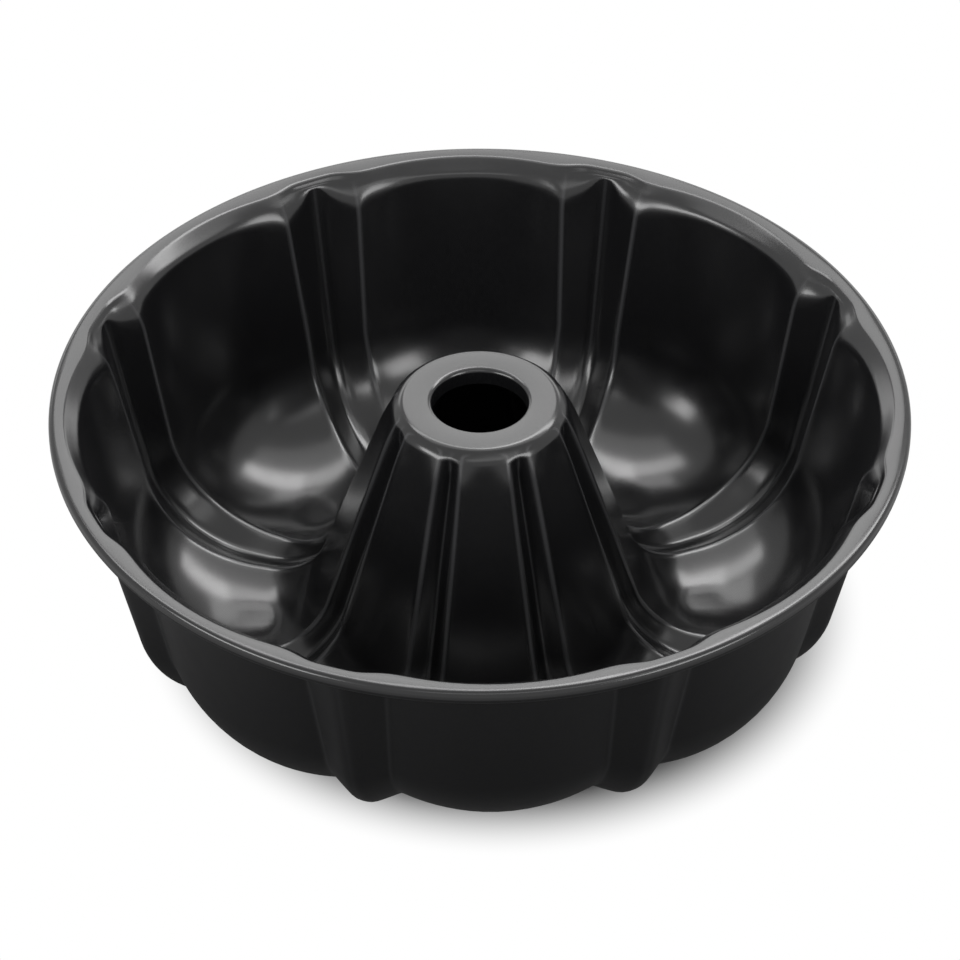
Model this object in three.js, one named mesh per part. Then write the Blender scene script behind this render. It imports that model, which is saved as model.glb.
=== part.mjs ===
// Pumpkin cake pan: one drawn steel sheet with wide lobes and narrow flutes around a
// centre tube, its rim rolled around a steel wire. Millimetres, +Z up. The pan stands on
// its lobes at z = 0, the tube's axis is the Z axis, and a lobe faces -Y.

import * as THREE from 'three';

// Overall sizes
const RIM_DIAMETER = 255;
const OVERALL_HEIGHT = 84.5;
const SHEET_THICKNESS = 0.8;
const LOBE_COUNT = 8;

// Rolled rim and the wire inside it
const BEAD_DIAMETER = 5;
const CURL_TURN = 270;
const WIRE_CLEARANCE = 0.4;
const WIRE_END_GAP = 1;

// Band, collar and ledge between the rolled rim and the wall, at the middle of a lobe
const COLLAR_GAP = 1.1;
const BAND_CORNER_RADIUS = 1.4;
const COLLAR_DEPTH = 2.5;
const COLLAR_LEAN = 0.8;
const LEDGE_WIDTH = 1.4;
const LEDGE_DEPTH = 3.2;
const LEDGE_ARCH = 4;

// Wall, bowl and foot of a lobe
const WALL_TAPER = 10.7;
const BOWL_RADIUS = 39;
const FOOT_WIDTH = 4;
const FOOT_PRESS = 0.5;

// Ridges, the creases where lobe and flute meet: how far they stand into the pan
const RIDGE_AT_BAND = 2.8;
const RIDGE_AT_COLLAR = 3;
const RIDGE_AT_WALL = 3.1;
const RIDGE_TAPER = 11.5;
const RIDGE_AT_FLOOR = 4.3;
const RIDGE_BOWL_RADIUS = 34;
const RIDGE_AT_TUBE = 1.3;
const RIDGE_LEDGE_DEPTH = 9.5;

// Flutes: where the bottom of the V lies against the middle of a lobe. It is inside it
// under the band and on the floor, and outside it at the wall and on the tube.
const FLUTE_AT_BAND = 1.3;
const FLUTE_OUT_OF_COLLAR = 0.1;
const FLUTE_OUT_OF_WALL = 1.5;
const FLUTE_AT_FLOOR = 0.5;
const FLUTE_BOWL_RADIUS = 37;
const FLUTE_OUT_OF_TUBE = 2.6;
const FLUTE_LEDGE_DEPTH = 3.4;
const FLUTE_END_DEPTH = 9;
const FLUTE_ROUNDING = 0.2;

// Half the angle a lobe takes, at the rim, at the foot of the wall and at the tube's top
const LOBE_ANGLE_RIM = 16.4;
const LOBE_ANGLE_WALL = 17.2;
const LOBE_ANGLE_TUBE = 14.7;

// Centre tube and its turned-down top
const TUBE_DIAMETER = 50;
const TUBE_TAPER = 19;
const BEVEL_WIDTH = 1.8;
const BEVEL_DROP = 2.4;
const BEVEL_ROUND = 0.7;
const HOLE_DIAMETER = 28.4;
const LIP_RADIUS = 1.2;
const SKIRT_DEPTH = 5;

// How finely the curves are cut
const CURL_STEPS = 9;
const CORNER_STEPS = 2;
const WALL_STEPS = 1;
const BOWL_STEPS = 5;
const HEEL_STEPS = 3;
const LIP_STEPS = 2;
const WIRE_SIDES = 8;

// Colours
const COATING_COLOUR = 0x29292b;
const WIRE_COLOUR = 0x8a8c90;

// Values that follow from the sizes above, all on the middle of the sheet
const HALF_SHEET = SHEET_THICKNESS / 2;
const TOP_HEIGHT = OVERALL_HEIGHT - HALF_SHEET;
const BEAD_RADIUS = BEAD_DIAMETER / 2;
const BEAD_CENTRE_RADIUS = RIM_DIAMETER / 2 - BEAD_RADIUS;
const BEAD_CENTRE_HEIGHT = OVERALL_HEIGHT - BEAD_RADIUS;
const COLLAR_RADIUS = BEAD_CENTRE_RADIUS - BEAD_RADIUS - COLLAR_GAP - HALF_SHEET;
const WALL_RADIUS = COLLAR_RADIUS - COLLAR_LEAN - LEDGE_WIDTH;
const TUBE_RADIUS = TUBE_DIAMETER / 2;
const SKIRT_RADIUS = HOLE_DIAMETER / 2 + HALF_SHEET;
const LOBE_PITCH = 2 * Math.PI / LOBE_COUNT;

// The three sections that the sheet is drawn through. Insets point into the pan.
const LOBE_SECTION = {
  band: 0,
  collar: 0,
  wall: 0,
  taper: WALL_TAPER,
  ledgeDepth: LEDGE_DEPTH,
  floorHeight: HALF_SHEET - FOOT_PRESS,
  bowlRadius: BOWL_RADIUS,
  tube: 0,
};
const RIDGE_SECTION = {
  band: RIDGE_AT_BAND,
  collar: RIDGE_AT_COLLAR,
  wall: RIDGE_AT_WALL,
  taper: RIDGE_TAPER,
  ledgeDepth: RIDGE_LEDGE_DEPTH,
  floorHeight: HALF_SHEET + RIDGE_AT_FLOOR,
  bowlRadius: RIDGE_BOWL_RADIUS,
  tube: RIDGE_AT_TUBE,
};
const FLUTE_SECTION = {
  band: FLUTE_AT_BAND,
  collar: -FLUTE_OUT_OF_COLLAR,
  wall: -FLUTE_OUT_OF_WALL,
  taper: WALL_TAPER,
  ledgeDepth: FLUTE_LEDGE_DEPTH,
  floorHeight: HALF_SHEET + FLUTE_AT_FLOOR,
  bowlRadius: FLUTE_BOWL_RADIUS,
  tube: -FLUTE_OUT_OF_TUBE,
};

function radians(degrees) {
  return degrees * Math.PI / 180;
}

function mix(from, to, share) {
  return from + (to - from) * share;
}

// Points on an arc around a centre, both ends included, angles in degrees
function arc(centreRadius, centreHeight, radius, startAngle, endAngle, steps) {
  const points = [];
  for (let step = 0; step <= steps; step += 1) {
    const angle = radians(mix(startAngle, endAngle, step / steps));
    const across = centreRadius + radius * Math.cos(angle);
    const up = centreHeight + radius * Math.sin(angle);
    points.push([across, up]);
  }
  return points;
}

// The two points that take the edge off a corner
function softCorner(before, corner, after, distance) {
  const towards = (target) => {
    const length = Math.hypot(target[0] - corner[0], target[1] - corner[1]);
    const share = Math.min(distance / length, 0.4);
    return [mix(corner[0], target[0], share), mix(corner[1], target[1], share)];
  };
  return [towards(before), towards(after)];
}

// One section, from the cut edge of the curl to the edge of the turned-down tube top.
// Every section has the same number of points, so that the rows match.
function sectionPoints(shape) {
  const points = [];

  // Rolled rim, then the flat band and its corner
  const curlRadius = BEAD_RADIUS - HALF_SHEET;
  points.push(...arc(BEAD_CENTRE_RADIUS, BEAD_CENTRE_HEIGHT, curlRadius, 90 - CURL_TURN, 90, CURL_STEPS));
  const collarTop = COLLAR_RADIUS - shape.band;
  const cornerCentre = [collarTop + BAND_CORNER_RADIUS, TOP_HEIGHT - BAND_CORNER_RADIUS];
  points.push(...arc(cornerCentre[0], cornerCentre[1], BAND_CORNER_RADIUS, 90, 180, CORNER_STEPS));

  // Collar and ledge, down to the straight wall
  const wallTangent = Math.tan(radians(shape.taper));
  const wallRadiusAt = (height) => {
    const drop = TOP_HEIGHT - LEDGE_DEPTH - height;
    return WALL_RADIUS - shape.wall - wallTangent * drop;
  };
  points.push([COLLAR_RADIUS - COLLAR_LEAN - shape.collar, TOP_HEIGHT - COLLAR_DEPTH]);
  const ledgeHeight = TOP_HEIGHT - shape.ledgeDepth;
  points.push([wallRadiusAt(ledgeHeight), ledgeHeight]);

  // Corners of the bowl, where the wall and the tube's flank would meet the floor
  const flankTangent = Math.tan(radians(TUBE_TAPER));
  const flankRadiusAt = (height) => TUBE_RADIUS + shape.tube + flankTangent * (TOP_HEIGHT - height);
  const wallFoot = wallRadiusAt(shape.floorHeight);
  const flankFoot = flankRadiusAt(shape.floorHeight);
  const room = wallFoot - flankFoot - FOOT_WIDTH;

  // The bowl takes its own radius, and the heel at the tube takes the rest of the floor
  const bowlShare = Math.tan(radians((90 + shape.taper) / 2));
  const bowlReach = Math.min(shape.bowlRadius / bowlShare, 0.9 * room);
  const bowlRadius = bowlReach * bowlShare;
  const heelReach = room - bowlReach;
  const heelRadius = heelReach * Math.tan(radians((90 + TUBE_TAPER) / 2));
  const bowlCentre = [wallFoot - bowlReach, shape.floorHeight + bowlRadius];
  const heelCentre = [flankFoot + heelReach, shape.floorHeight + heelRadius];
  const bowl = arc(bowlCentre[0], bowlCentre[1], bowlRadius, -shape.taper, -90, BOWL_STEPS);
  const heel = arc(heelCentre[0], heelCentre[1], heelRadius, -90, TUBE_TAPER - 180, HEEL_STEPS);
  for (let step = 1; step < WALL_STEPS; step += 1) {
    const height = mix(ledgeHeight, bowl[0][1], step / WALL_STEPS);
    points.push([wallRadiusAt(height), height]);
  }
  points.push(...bowl);
  points.push(...heel);

  // Flank of the tube. Ridges and flutes run out just below the bevel.
  const fluteEnd = TOP_HEIGHT - FLUTE_END_DEPTH;
  points.push([flankRadiusAt(fluteEnd), fluteEnd]);
  const bevelFoot = [TUBE_RADIUS + flankTangent * BEVEL_DROP, TOP_HEIGHT - BEVEL_DROP];
  const bevelTop = [TUBE_RADIUS - BEVEL_WIDTH, TOP_HEIGHT];
  const flankPoint = [TUBE_RADIUS + flankTangent * FLUTE_END_DEPTH, fluteEnd];
  const lipCentre = [SKIRT_RADIUS + LIP_RADIUS, TOP_HEIGHT - LIP_RADIUS];
  const ringPoint = [lipCentre[0], TOP_HEIGHT];
  points.push(...softCorner(flankPoint, bevelFoot, bevelTop, BEVEL_ROUND));
  points.push(...softCorner(bevelFoot, bevelTop, ringPoint, BEVEL_ROUND));

  // Flat ring on top, rolled lip and turned-down skirt
  points.push(...arc(lipCentre[0], lipCentre[1], LIP_RADIUS, 90, 180, LIP_STEPS));
  points.push([SKIRT_RADIUS, TOP_HEIGHT - SKIRT_DEPTH]);
  return points;
}

// Columns of one lobe and the flute after it. On the lobe, across runs from -1 at one
// ridge to 1 at the next. In the flute, depth runs from 0 at a ridge to 1 at the bottom.
// Even is the angle of the column where the sheet is plain and round, at rim and hole.
function sectorColumns() {
  const columns = [];
  for (const across of [-0.93, -0.6, -0.25, 0.25, 0.6, 0.93]) {
    columns.push({ across, depth: 0, side: 0 });
  }
  for (const depth of [0.14, 0.74, 1]) {
    columns.push({ across: 1, depth, side: 1 });
  }
  for (const depth of [0.74, 0.14]) {
    columns.push({ across: 1, depth, side: -1 });
  }
  const middle = 2.5;
  columns.forEach((column, index) => {
    column.even = (index - middle) * LOBE_PITCH / columns.length;
  });
  return columns;
}

// Angle of a column from the middle of its lobe, where the lobe takes the given half angle
function columnAngle(column, lobeAngle) {
  if (column.side === 0) {
    return column.across * lobeAngle;
  }
  const reach = mix(lobeAngle, LOBE_PITCH / 2, column.depth);
  return column.side > 0 ? reach : LOBE_PITCH - reach;
}

// How far a flute has sunk from its ridge towards its bottom: a V with a rounded bottom
function fluteShare(depth) {
  const fromBottom = 1 - depth;
  const soft = (value) => Math.hypot(value, FLUTE_ROUNDING) - FLUTE_ROUNDING;
  return 1 - soft(fromBottom) / soft(1);
}

// Half the angle of the lobe at each row, by the length run along the lobe's section
function lobeAngles(points, wallRow, footRow) {
  const lengths = [0];
  for (let row = 1; row < points.length; row += 1) {
    const step = Math.hypot(points[row][0] - points[row - 1][0], points[row][1] - points[row - 1][1]);
    lengths.push(lengths[row - 1] + step);
  }
  const last = lengths[points.length - 1];
  return lengths.map((length) => {
    const down = THREE.MathUtils.clamp(
      (length - lengths[wallRow]) / (lengths[footRow] - lengths[wallRow]), 0, 1);
    const along = THREE.MathUtils.clamp((length - lengths[footRow]) / (last - lengths[footRow]), 0, 1);
    const wallAngle = mix(LOBE_ANGLE_RIM, LOBE_ANGLE_WALL, down);
    return radians(mix(wallAngle, LOBE_ANGLE_TUBE, along));
  });
}

// Point at an angle that counts from -Y towards +X
function place(radius, height, angle) {
  return new THREE.Vector3(radius * Math.sin(angle), -radius * Math.cos(angle), height);
}

// The middle of the sheet as rows of points, one row per point of the sections
function middleRows() {
  const lobe = sectionPoints(LOBE_SECTION);
  const ridge = sectionPoints(RIDGE_SECTION);
  const flute = sectionPoints(FLUTE_SECTION);
  const wallRow = CURL_STEPS + CORNER_STEPS + 3;
  const footRow = wallRow + WALL_STEPS;
  const ringRow = lobe.length - LIP_STEPS - 3;
  const angles = lobeAngles(lobe, wallRow, footRow);
  const columns = sectorColumns();
  return lobe.map((lobePoint, row) => {
    const plain = row <= CURL_STEPS || row >= ringRow;
    // The ledge stays level over most of a lobe, then turns down to its ridges
    const arch = row === wallRow ? LEDGE_ARCH : 2;
    const points = [];
    for (let sector = 0; sector < LOBE_COUNT; sector += 1) {
      for (const column of columns) {
        const rise = Math.abs(column.across) ** arch;
        const sink = fluteShare(column.depth);
        const blend = [0, 1].map((axis) => {
          const onLobe = mix(lobePoint[axis], ridge[row][axis], rise);
          return mix(onLobe, flute[row][axis], column.side === 0 ? 0 : sink);
        });
        const turn = plain ? column.even : columnAngle(column, angles[row]);
        // The lowest spot of each lobe is pressed flat, as a foot
        points.push(place(blend[0], Math.max(blend[1], HALF_SHEET), sector * LOBE_PITCH + turn));
      }
    }
    return points;
  });
}

// Which way, and how far, each point moves when the sheet's face moves out by one: square
// to the sheet, and longer at a bend, so that the faces either side keep the thickness
function faceMoves(rows) {
  const lastRow = rows.length - 1;
  return rows.map((points, row) => points.map((point, column) => {
    const count = points.length;
    const around = new THREE.Vector3().subVectors(
      points[(column + 1) % count], points[(column + count - 1) % count]);
    const squareTo = (from, to) => {
      const along = new THREE.Vector3().subVectors(rows[to][column], rows[from][column]);
      return new THREE.Vector3().crossVectors(around, along).normalize();
    };
    const before = row > 0 ? squareTo(row - 1, row) : squareTo(row, row + 1);
    const after = row < lastRow ? squareTo(row, row + 1) : squareTo(row - 1, row);
    const middle = new THREE.Vector3().addVectors(before, after).normalize();
    return middle.divideScalar(middle.dot(after));
  }));
}

function geometryFrom(vertices, triangles) {
  const geometry = new THREE.BufferGeometry();
  const positions = vertices.flatMap((vertex) => [vertex.x, vertex.y, vertex.z]);
  geometry.setAttribute('position', new THREE.Float32BufferAttribute(positions, 3));
  geometry.setIndex(triangles.flat());
  geometry.computeVertexNormals();
  return geometry;
}

// The sheet: its two faces, half the thickness either way, joined along both cut edges
function shellGeometry() {
  const rows = middleRows();
  const moves = faceMoves(rows);
  const count = rows[0].length;
  const vertices = [];
  for (const side of [HALF_SHEET, -HALF_SHEET]) {
    rows.forEach((points, row) => points.forEach((point, column) => {
      vertices.push(point.clone().addScaledVector(moves[row][column], side));
    }));
  }
  const inner = (row, column) => row * count + column % count;
  const outer = (row, column) => (rows.length + row) * count + column % count;
  const triangles = [];
  const last = rows.length - 1;
  for (let column = 0; column < count; column += 1) {
    const next = column + 1;
    for (let row = 0; row < last; row += 1) {
      const below = row + 1;
      triangles.push([inner(row, column), inner(row, next), inner(below, next)]);
      triangles.push([inner(row, column), inner(below, next), inner(below, column)]);
      triangles.push([outer(row, column), outer(below, next), outer(row, next)]);
      triangles.push([outer(row, column), outer(below, column), outer(below, next)]);
    }
    triangles.push([inner(0, next), inner(0, column), outer(0, column)]);
    triangles.push([inner(0, next), outer(0, column), outer(0, next)]);
    triangles.push([inner(last, column), inner(last, next), outer(last, next)]);
    triangles.push([inner(last, column), outer(last, next), outer(last, column)]);
  }
  return geometryFrom(vertices, triangles);
}

// The wire: a round bar bent to a ring, its butted ends left a little apart
function wireGeometry() {
  const wireRadius = BEAD_RADIUS - SHEET_THICKNESS - WIRE_CLEARANCE;
  const halfGap = WIRE_END_GAP / 2 / BEAD_CENTRE_RADIUS;
  const columnCount = LOBE_COUNT * sectorColumns().length;
  const step = 2 * Math.PI / columnCount;
  const butt = step / 2;
  const angles = [butt + halfGap];
  for (let column = 1; column < columnCount; column += 1) {
    angles.push(butt + column * step);
  }
  angles.push(butt + 2 * Math.PI - halfGap);

  const vertices = [];
  for (const angle of angles) {
    for (let side = 0; side < WIRE_SIDES; side += 1) {
      const turn = 2 * Math.PI * side / WIRE_SIDES;
      const radius = BEAD_CENTRE_RADIUS + wireRadius * Math.cos(turn);
      const height = BEAD_CENTRE_HEIGHT + wireRadius * Math.sin(turn);
      vertices.push(place(radius, height, angle));
    }
  }
  const at = (ring, side) => ring * WIRE_SIDES + side % WIRE_SIDES;
  const last = angles.length - 1;
  const triangles = [];
  for (let side = 0; side < WIRE_SIDES; side += 1) {
    for (let ring = 0; ring < last; ring += 1) {
      triangles.push([at(ring, side), at(ring + 1, side), at(ring + 1, side + 1)]);
      triangles.push([at(ring, side), at(ring + 1, side + 1), at(ring, side + 1)]);
    }
  }
  for (let side = 1; side < WIRE_SIDES - 1; side += 1) {
    triangles.push([at(0, 0), at(0, side), at(0, side + 1)]);
    triangles.push([at(last, 0), at(last, side + 1), at(last, side)]);
  }
  return geometryFrom(vertices, triangles);
}

const coating = new THREE.MeshStandardMaterial({
  color: COATING_COLOUR,
  roughness: 0.36,
  metalness: 0.25,
});
const steel = new THREE.MeshStandardMaterial({
  color: WIRE_COLOUR,
  roughness: 0.4,
  metalness: 1,
});

const panShell = new THREE.Mesh(shellGeometry(), coating);
panShell.name = 'pan_shell';
const rimWire = new THREE.Mesh(wireGeometry(), steel);
rimWire.name = 'rim_wire';

const pan = new THREE.Group();
pan.name = 'pumpkin_cake_pan';
pan.add(panShell, rimWire);

export default pan;
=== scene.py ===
# %% [markdown]
# # A pumpkin cake pan
# The real pan is one sheet of steel, pressed into eight wide lobes with eight narrow flutes
# between them. An open tube stands in the middle, the rim is rolled around a wire, and a dark
# non-stick coating covers it. The imported solids are loaded first, as the frame that the finished
# pieces have to fit.

# %% Frame
import bpy
import math
from mathutils import Matrix, Vector


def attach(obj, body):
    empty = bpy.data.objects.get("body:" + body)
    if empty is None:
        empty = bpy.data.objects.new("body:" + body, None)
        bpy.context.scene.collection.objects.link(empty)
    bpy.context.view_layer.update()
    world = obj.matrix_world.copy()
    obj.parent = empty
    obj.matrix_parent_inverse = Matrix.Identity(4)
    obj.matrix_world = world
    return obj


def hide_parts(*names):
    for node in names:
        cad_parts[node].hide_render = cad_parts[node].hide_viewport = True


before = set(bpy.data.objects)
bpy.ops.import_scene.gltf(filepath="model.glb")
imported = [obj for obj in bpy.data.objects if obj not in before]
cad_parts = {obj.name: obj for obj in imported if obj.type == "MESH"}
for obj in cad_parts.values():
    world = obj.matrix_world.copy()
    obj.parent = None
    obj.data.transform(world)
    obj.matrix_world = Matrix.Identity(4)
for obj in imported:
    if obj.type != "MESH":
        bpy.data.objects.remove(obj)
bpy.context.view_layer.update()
scene = bpy.context.scene
# Colours come out as they are written, without a film's look
scene.view_settings.view_transform = "Standard"
MM = 0.001

# %% [markdown]
# ## The camera
# The photograph looks down on the pan at about 40 degrees with a long lens, so the rim is
# almost a true ellipse. The camera could be set by eye. Here its place was solved from points of
# the rim, the tube and the feet, because the pan's proportions can only be compared with the
# photograph from the right place. It turns about three degrees, as the front lobe isn't quite
# in the middle. Its distances are in millimetres.

# %% Camera
VIEW_ELEVATION = 40.28
VIEW_TURN = -3.19
VIEW_DISTANCE = 1275
VIEW_CENTRE_HEIGHT = 82
VIEW_SLIDE = (0.06, -21.90)
LENS = 161.23

elevation = math.radians(VIEW_ELEVATION)
forward = Vector((0, math.cos(elevation), -math.sin(elevation)))
right = Vector((1, 0, 0))
up = right.cross(forward)
place = Vector((0, 0, VIEW_CENTRE_HEIGHT)) - forward * VIEW_DISTANCE
place += right * VIEW_SLIDE[0] + up * VIEW_SLIDE[1]
turned = Matrix((right, up, -forward)).transposed().to_4x4()
turned.translation = place * MM

camera = bpy.data.objects.new("camera", bpy.data.cameras.new("camera"))
camera.data.lens = LENS
camera.data.sensor_width = 36
camera.matrix_world = Matrix.Rotation(math.radians(VIEW_TURN), 4, "Z") @ turned
scene.collection.objects.link(camera)
scene.camera = camera
print("camera at", [round(v, 3) for v in camera.matrix_world.translation])

# %% [markdown]
# ## Four sections
# A press tool is drawn with sections. This one has four: through the middle of a lobe, along the
# ridge where lobe and flute meet, halfway down a flute's side, and along a flute's bottom. They
# could be drawn as Bezier curves, but then their points wouldn't match. Arcs and rounded corners
# with fixed counts give every section the same number of points, row for row.

# %% Drawing helpers
# The share of a side that one rounding may take up, so that two never overlap
LONGEST_SHARE = 0.46


def arc(centre, radius, start, end, steps):
    """Points on an arc, both ends included, angles in degrees."""
    points = []
    for step in range(steps + 1):
        angle = math.radians(start + (end - start) * step / steps)
        points.append((centre[0] + radius * math.cos(angle), centre[1] + radius * math.sin(angle)))
    return points


def between(start, end, steps):
    """Points between two points, without the two."""
    start, end = Vector(start), Vector(end)
    return [tuple(start.lerp(end, step / (steps + 1))) for step in range(1, steps + 1)]


def rounded(before, corner, after, reach, steps):
    """A corner rounded over a reach either way, as a smooth parabola."""
    before, corner, after = Vector(before), Vector(corner), Vector(after)
    start = corner + (before - corner) * min(reach / (before - corner).length, LONGEST_SHARE)
    end = corner + (after - corner) * min(reach / (after - corner).length, LONGEST_SHARE)
    shares = [step / steps for step in range(steps + 1)]
    return [tuple(start.lerp(corner, s).lerp(corner.lerp(end, s), s)) for s in shares]


print("a quarter arc:", [(round(x, 2), round(y, 2)) for x, y in arc((0, 0), 1, 0, 90, 2)])

# %% [markdown]
# ## The rolled rim
# The sheet's edge is rolled around a wire and then flattened on top. From there a land slopes
# gently into the pan and bends over an edge. A torus would do for the roll, but the land is wider
# at the ridges than at the lobes, so each section draws its own. All sizes are in millimetres, and
# all points lie on the middle of the sheet's thickness.

# %% Rim
SHEET = 0.8
HALF_SHEET = SHEET / 2
PAN_HEIGHT = 84.5
TOP = PAN_HEIGHT - HALF_SHEET
BEAD_RADIUS = 2.5
BEAD_CENTRE = (125, 82)
CURL_START = -180
RIM_CORNER = 1.1
LAND_SLOPE = 12
CURL_STEPS = 10
RIM_STEPS = 5


def rim_rows(shape):
    """From the cut edge inside the curl, over the rim's top, to the end of the land's edge."""
    side = BEAD_CENTRE[0] + BEAD_RADIUS - HALF_SHEET
    corner = (side - RIM_CORNER, TOP - RIM_CORNER)
    land, bend = shape["land"], shape["edge"]
    rows = arc(BEAD_CENTRE, BEAD_RADIUS - HALF_SHEET, CURL_START, 0, CURL_STEPS)
    rows += arc(corner, RIM_CORNER, 0, 90, RIM_STEPS)
    rows += arc((corner[0], TOP - land), land, 90, 90 + LAND_SLOPE, RIM_STEPS)[1:]
    slope = math.radians(LAND_SLOPE)
    bend_centre = (rows[-1][0] + bend * math.sin(slope), rows[-1][1] - bend * math.cos(slope))
    return rows + arc(bend_centre, bend, 90 + LAND_SLOPE, 90 + shape["turn"], RIM_STEPS)[1:]


CURL_ROWS = CURL_STEPS + 1 + RIM_STEPS + 1
print("rim is", 2 * (BEAD_CENTRE[0] + BEAD_RADIUS), "mm across")

# %% [markdown]
# ## Wall and floor
# The wall leans in, so that a cake slides out. At its foot a large round bowl takes it to a small
# flat foot, and a heel takes that up to the tube. The bowl's radius is known, and the heel's
# follows from the room that is left. A single free curve could join them, but a press tool is cut
# with true arcs, and only arcs give the even shine of the real floor.

# %% Wall and floor
WALL_RADIUS = 118.8
WALL_START = 3.2
FOOT_WIDTH = 4
TUBE_RADIUS = 25
TUBE_TAPER = 19
BOWL_STEPS = 20
HEEL_STEPS = 14


def wall_point(shape, height):
    """The wall's radius and height, at a height."""
    lean = math.tan(math.radians(shape["taper"]))
    return WALL_RADIUS - shape["wall"] - lean * (TOP - WALL_START - height), height


def flank_point(shape, height):
    """The tube's radius and height, at a height."""
    return TUBE_RADIUS + shape["tube"] + math.tan(math.radians(TUBE_TAPER)) * (TOP - height), height


def floor_rows(shape):
    """From the wall's foot through the bowl and the heel to the foot of the tube."""
    wall_foot = wall_point(shape, shape["floor"])[0]
    flank_foot = flank_point(shape, shape["floor"])[0]
    bowl_reach = shape["bowl"] / math.tan(math.radians((90 + shape["taper"]) / 2))
    heel_reach = wall_foot - flank_foot - FOOT_WIDTH - bowl_reach
    heel = heel_reach * math.tan(math.radians((90 + TUBE_TAPER) / 2))
    bowl_centre = (wall_foot - bowl_reach, shape["floor"] + shape["bowl"])
    heel_centre = (flank_foot + heel_reach, shape["floor"] + heel)
    rows = arc(bowl_centre, shape["bowl"], -shape["taper"], -90, BOWL_STEPS)
    return rows + arc(heel_centre, heel, -90, TUBE_TAPER - 180, HEEL_STEPS)


print("tube is", 2 * TUBE_RADIUS, "mm across at its top")

# %% [markdown]
# ## The tube
# The tube carries heat to the middle of the cake. Its flutes fade out below a bevel, its top is a
# flat ring, and the sheet turns down into the hole as a short skirt. It could be a separate
# piece let into the floor, but the flutes of the real pan run up it without a break.

# %% Tube
FLUTE_END_DEPTH = 9
BEVEL_WIDTH = 1.8
BEVEL_DROP = 2.4
SKIRT_RADIUS = 14.6
LIP_RADIUS = 1.2
LIP_STEPS = 5
SKIRT_DEPTH = 5
FADE_ROUNDING = 3.5
BEVEL_ROUNDING = 1.1
ROUNDING_STEPS = 4
STRAIGHT_STEPS = 7


def tube_rows(shape, heel_end):
    """Up the tube to its bevel, and then over its ring and into its hole."""
    flute_end = flank_point(shape, TOP - FLUTE_END_DEPTH)
    bevel_foot = flank_point(dict(tube=0), TOP - BEVEL_DROP)
    bevel_top = (TUBE_RADIUS - BEVEL_WIDTH, TOP)
    lip = arc((SKIRT_RADIUS + LIP_RADIUS, TOP - LIP_RADIUS), LIP_RADIUS, 90, 180, LIP_STEPS)
    fading = rounded(heel_end, flute_end, bevel_foot, FADE_ROUNDING, ROUNDING_STEPS)
    flank = between(heel_end, fading[0], STRAIGHT_STEPS) + fading
    flank += rounded(flute_end, bevel_foot, bevel_top, BEVEL_ROUNDING, ROUNDING_STEPS)
    ring = rounded(bevel_foot, bevel_top, lip[0], BEVEL_ROUNDING, ROUNDING_STEPS) + lip
    ring += [(SKIRT_RADIUS, TOP - SKIRT_DEPTH / 2), (SKIRT_RADIUS, TOP - SKIRT_DEPTH)]
    return flank, ring


print("hole is", 2 * (SKIRT_RADIUS - HALF_SHEET), "mm across")

# %% [markdown]
# ## The sections put together
# Between the land's edge and the wall runs a collar: a short slope with a rounded nose at its
# foot. The numbers of each section were read from the photograph. The ridge's land is the widest
# and its collar the deepest, and the flute's bottom starts just under its land. Here land, edge
# and bowl are radii, turn and taper are angles, foot is a radius and a depth, ledge is a depth,
# nose a reach and floor a height. Wall and tube say how far each stands into the pan.

# %% Sections
LOBE = dict(land=10.9, edge=2.2, turn=40, foot=(120.7, 2.4), ledge=4.05, nose=1.8,
            wall=0, taper=10.7, floor=-0.1, bowl=39, tube=0)
RIDGE = dict(land=24.6, edge=1.8, turn=42, foot=(117.7, 3.0), ledge=7.8, nose=5,
             wall=3.1, taper=11.5, floor=4.7, bowl=34, tube=1.3)
FLANK = dict(land=13.1, edge=1.8, turn=52, foot=(121.3, 2.5), ledge=6.6, nose=5,
             wall=0.45, taper=11.7, floor=2.8, bowl=35.5, tube=-0.65)
FLUTE = dict(land=11.6, edge=1.8, turn=60, foot=(121.8, 2.0), ledge=2.3, nose=0.5,
             wall=-2.2, taper=11.9, floor=0.9, bowl=37, tube=-2.6)
COLLAR_ROUNDING = 1.2
NOSE_STEPS = 6


def section(shape):
    """One section in its parts: rim, collar, wall, floor, tube and ring."""
    rim = rim_rows(shape)
    floor = floor_rows(shape)
    foot = (shape["foot"][0], TOP - shape["foot"][1])
    wall_top = wall_point(shape, TOP - shape["ledge"])
    collar = rounded(rim[-1], foot, wall_top, min(COLLAR_ROUNDING, shape["nose"]), ROUNDING_STEPS)
    collar += rounded(foot, wall_top, floor[0], shape["nose"], NOSE_STEPS)
    wall = between(collar[-1], floor[0], STRAIGHT_STEPS)
    flank, ring = tube_rows(shape, floor[-1])
    return [rim, collar, wall, floor, flank, ring]


sections = {}
for name, shape in (("lobe", LOBE), ("ridge", RIDGE), ("flank", FLANK), ("flute", FLUTE)):
    sections[name] = sum(section(shape), [])
part_sizes = [len(part) for part in section(LOBE)]
edge_row = part_sizes[0] - 1
nose_row = sum(part_sizes[:2]) - 1 - NOSE_STEPS // 2
bowl_row = sum(part_sizes[:3])
ring_row = sum(part_sizes[:5])
print("rows in a section:", sum(part_sizes))

# %% [markdown]
# ## How each row is spread around the pan
# A row needs more than its four points: how wide its lobe is, how sharply the lobe turns up to
# its ridges, and whether the row is plain and round, as the rolled rim and the tube's hole are.
# Sheet steel bends softly near the rim, where the flutes begin with flat bottoms, and more
# sharply further down. These could be settings of the whole pan, but its rim and floor really
# differ, so each row has its own.

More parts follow.
